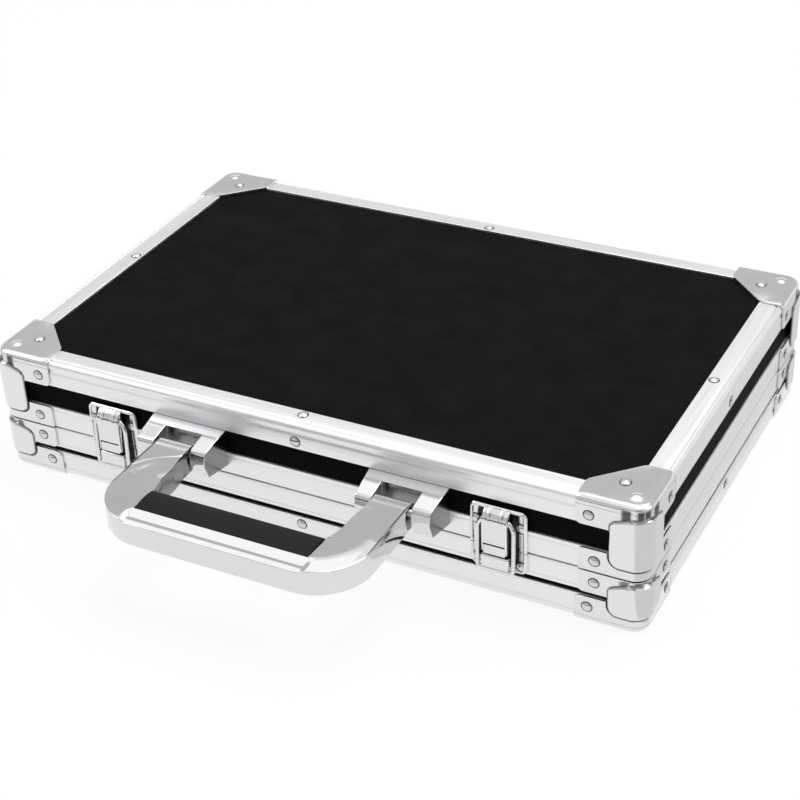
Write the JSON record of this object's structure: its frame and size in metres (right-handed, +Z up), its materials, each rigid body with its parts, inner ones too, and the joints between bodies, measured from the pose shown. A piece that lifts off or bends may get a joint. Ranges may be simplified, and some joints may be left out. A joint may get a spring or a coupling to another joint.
{
  "type": "miniature carry case",
  "caption": "Low rectangular carry case: boards in metal edging with pressed corners, hinged lid, draw latches, fold-up handle and foam inside.",
  "frame": {"origin": "on the ground under the middle of the whole outline, handle and hinges included", "axes": "+X to the right along the front, +Y from the handle side to the hinge side, +Z up through the lid"},
  "size_m": [0.3442, 0.3041, 0.0684],
  "materials": {
    "panel": "embossed leather-like grain",
    "board": "fine vertical ribs",
    "edging": "satin anodised extrusion",
    "corner": "bright plated pressed steel",
    "rivet": "bright plated",
    "handle": "polished",
    "grip": "smooth, slightly glossy",
    "latch": "polished",
    "hinge": "bright plated",
    "foam": "soft open-cell foam"
  },
  "bodies": {
    "base": {"base_panel": "panel", "base_walls": "board", "base_edge_front": "edging", "base_edge_right": "edging", "base_edge_back": "edging", "base_edge_left": "edging", "base_rim_front": "edging", "base_rim_right": "edging", "base_rim_back": "edging", "base_rim_left": "edging", "base_cap_front_left": "corner", "base_cap_front_right": "corner", "base_cap_back_right": "corner", "base_cap_back_left": "corner", "base_wrap_front_left": "corner", "base_wrap_front_right": "corner", "base_wrap_back_right": "corner", "base_wrap_back_left": "corner", "base_rivets": "rivet", "base_foam": "foam", "keeper_left": "latch", "keeper_right": "latch", "hinge_base_leaves": "hinge", "hinge_pins": "hinge"},
    "lid": {"lid_panel": "panel", "lid_walls": "board", "lid_edge_front": "edging", "lid_edge_right": "edging", "lid_edge_back": "edging", "lid_edge_left": "edging", "lid_rim_front": "edging", "lid_rim_right": "edging", "lid_rim_back": "edging", "lid_rim_left": "edging", "lid_cap_front_left": "corner", "lid_cap_front_right": "corner", "lid_cap_back_right": "corner", "lid_cap_back_left": "corner", "lid_wrap_front_left": "corner", "lid_wrap_front_right": "corner", "lid_wrap_back_right": "corner", "lid_wrap_back_left": "corner", "lid_rivets": "rivet", "lid_foam": "foam", "bracket_left": "handle", "bracket_right": "handle", "bracket_screws": "handle", "handle_pins": "handle", "latch_plate_left": "latch", "latch_plate_right": "latch", "latch_pins": "latch", "hinge_lid_leaves": "hinge"},
    "handle": {"handle_frame": "handle", "handle_pad": "grip"},
    "latch_lever_left": {"latch_lever_left": "latch"},
    "latch_bail_left": {"latch_bail_left": "latch"},
    "latch_lever_right": {"latch_lever_right": "latch"},
    "latch_bail_right": {"latch_bail_right": "latch"}
  },
  "joints": [
    {"name": "lid_hinge", "type": "hinge", "parent": "base", "child": "lid", "pos_m": [0, 0.14925, 0.0288], "axis": [-1, 0, 0], "range_deg": [0, 100]},
    {"name": "handle_fold", "type": "hinge", "parent": "lid", "child": "handle", "pos_m": [0, -0.09105, 0.046], "axis": [-1, 0, 0], "range_deg": [0, 90]},
    {"name": "lever_left", "type": "hinge", "parent": "lid", "child": "latch_lever_left", "pos_m": [-0.102, -0.07925, 0.0298], "axis": [1, 0, 0], "range_deg": [0, 95]},
    {"name": "bail_left", "type": "hinge", "parent": "latch_lever_left", "child": "latch_bail_left", "pos_m": [-0.102, -0.07945, 0.0448], "axis": [1, 0, 0], "range_deg": [-95, 0]},
    {"name": "lever_right", "type": "hinge", "parent": "lid", "child": "latch_lever_right", "pos_m": [0.102, -0.07925, 0.0298], "axis": [1, 0, 0], "range_deg": [0, 95]},
    {"name": "bail_right", "type": "hinge", "parent": "latch_lever_right", "child": "latch_bail_right", "pos_m": [0.102, -0.07945, 0.0448], "axis": [1, 0, 0], "range_deg": [-95, 0]}
  ],
  "couplings": [
    {"joint": "bail_left", "follows": "lever_left", "ratio": -1},
    {"joint": "bail_right", "follows": "lever_right", "ratio": -1}
  ]
}
